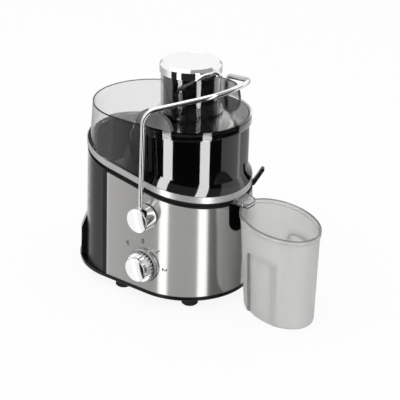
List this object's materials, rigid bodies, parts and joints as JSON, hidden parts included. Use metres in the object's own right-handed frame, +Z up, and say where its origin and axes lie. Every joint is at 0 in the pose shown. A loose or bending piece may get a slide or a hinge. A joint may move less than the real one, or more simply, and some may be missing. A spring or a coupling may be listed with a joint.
{
  "type": "electric juicer",
  "caption": "Countertop centrifugal juicer: steel-clad motor base, black sloping bowl, clear lid with wide feed chute, locking bail, rear pulp container and juice cup.",
  "frame": {"origin": "on the table, under the middle of the whole, midway between the tray's rear and the cup's far side", "axes": "+X towards the spout and the cup, -Y towards the speed knob, +Z up"},
  "size_m": [0.4212, 0.2429, 0.3533],
  "materials": {
    "base_plate": "satin",
    "rubber_feet": "matte",
    "base_screws": "plain",
    "steel_panel": "brushed",
    "motor_housing": "satin",
    "lower_motor_bracket": "cast",
    "upper_motor_bracket": "cast",
    "motor_stator": "plain",
    "lower_bearing": "ground",
    "upper_bearing": "ground",
    "motor_bolts": "plain",
    "motor_grommets": "matte",
    "motor_screws": "plain",
    "brush_holders": "plain",
    "motor_shaft": "ground",
    "rotor_core": "plain",
    "commutator": "turned",
    "cooling_fan": "plain",
    "drive_coupling": "plain",
    "filter_basket": "satin",
    "grater_disc": "satin",
    "juice_bowl": "polished",
    "bowl_band": "polished",
    "bowl_seal": "matte",
    "bowl_lifting_tab": "polished",
    "spout": "clear",
    "lid": "clear, lightly smoked",
    "lid_seal": "matte",
    "pusher_body": "satin",
    "pusher_head": "polished",
    "pusher_cap": "polished",
    "bail_rod": "polished",
    "front_bail_hub": "polished",
    "rear_bail_hub": "polished",
    "front_pivot_pin": "ground",
    "rear_pivot_pin": "ground",
    "speed_knob": "polished",
    "knob_bezel": "polished",
    "speed_switch": "plain",
    "interlock_switch": "plain",
    "cord_inlet": "matte",
    "pulp_container": "satin",
    "container_grip": "satin",
    "juice_cup": "frosted"
  },
  "bodies": {
    "base": {"base_plate": "base_plate", "rubber_feet": "rubber_feet", "base_screws": "base_screws", "steel_panel": "steel_panel", "motor_housing": "motor_housing", "lower_motor_bracket": "lower_motor_bracket", "upper_motor_bracket": "upper_motor_bracket", "motor_stator": "motor_stator", "lower_bearing": "lower_bearing", "upper_bearing": "upper_bearing", "motor_bolts": "motor_bolts", "motor_grommets": "motor_grommets", "motor_screws": "motor_screws", "brush_holders": "brush_holders", "juice_bowl": "juice_bowl", "bowl_band": "bowl_band", "bowl_seal": "bowl_seal", "bowl_lifting_tab": "bowl_lifting_tab", "spout": "spout", "lid": "lid", "lid_seal": "lid_seal", "front_pivot_pin": "front_pivot_pin", "rear_pivot_pin": "rear_pivot_pin", "knob_bezel": "knob_bezel", "speed_switch": "speed_switch", "interlock_switch": "interlock_switch", "cord_inlet": "cord_inlet"},
    "spindle": {"motor_shaft": "motor_shaft", "rotor_core": "rotor_core", "commutator": "commutator", "cooling_fan": "cooling_fan", "drive_coupling": "drive_coupling", "filter_basket": "filter_basket", "grater_disc": "grater_disc"},
    "pusher": {"pusher_body": "pusher_body", "pusher_head": "pusher_head", "pusher_cap": "pusher_cap"},
    "bail": {"bail_rod": "bail_rod", "front_bail_hub": "front_bail_hub", "rear_bail_hub": "rear_bail_hub"},
    "knob": {"speed_knob": "speed_knob"},
    "container": {"pulp_container": "pulp_container", "container_grip": "container_grip"},
    "cup": {"juice_cup": "juice_cup"}
  },
  "joints": [
    {"name": "spindle_spin", "type": "hinge", "parent": "base", "child": "spindle", "pos_m": [-0.02187, 0, 0.1], "axis": [0, 0, 1], "continuous": true},
    {"name": "pusher_lift", "type": "slide", "parent": "base", "child": "pusher", "axis": [0, 0, 1], "range_m": [0, 0.12]},
    {"name": "bail_swing", "type": "hinge", "parent": "base", "child": "bail", "pos_m": [-0.02407, 0, 0.141], "axis": [0, 1, 0], "range_deg": [0, 48]},
    {"name": "knob_turn", "type": "hinge", "parent": "base", "child": "knob", "pos_m": [-0.02787, -0.11, 0.0596], "axis": [0, 1, 0], "range_deg": [-46, 90]},
    {"name": "container_slide", "type": "slide", "parent": "base", "child": "container", "axis": [-1, 0, 0], "range_m": [0, 0.15]},
    {"name": "cup_slide", "type": "slide", "parent": "base", "child": "cup", "axis": [1, 0, 0], "range_m": [0, 0.15]}
  ]
}
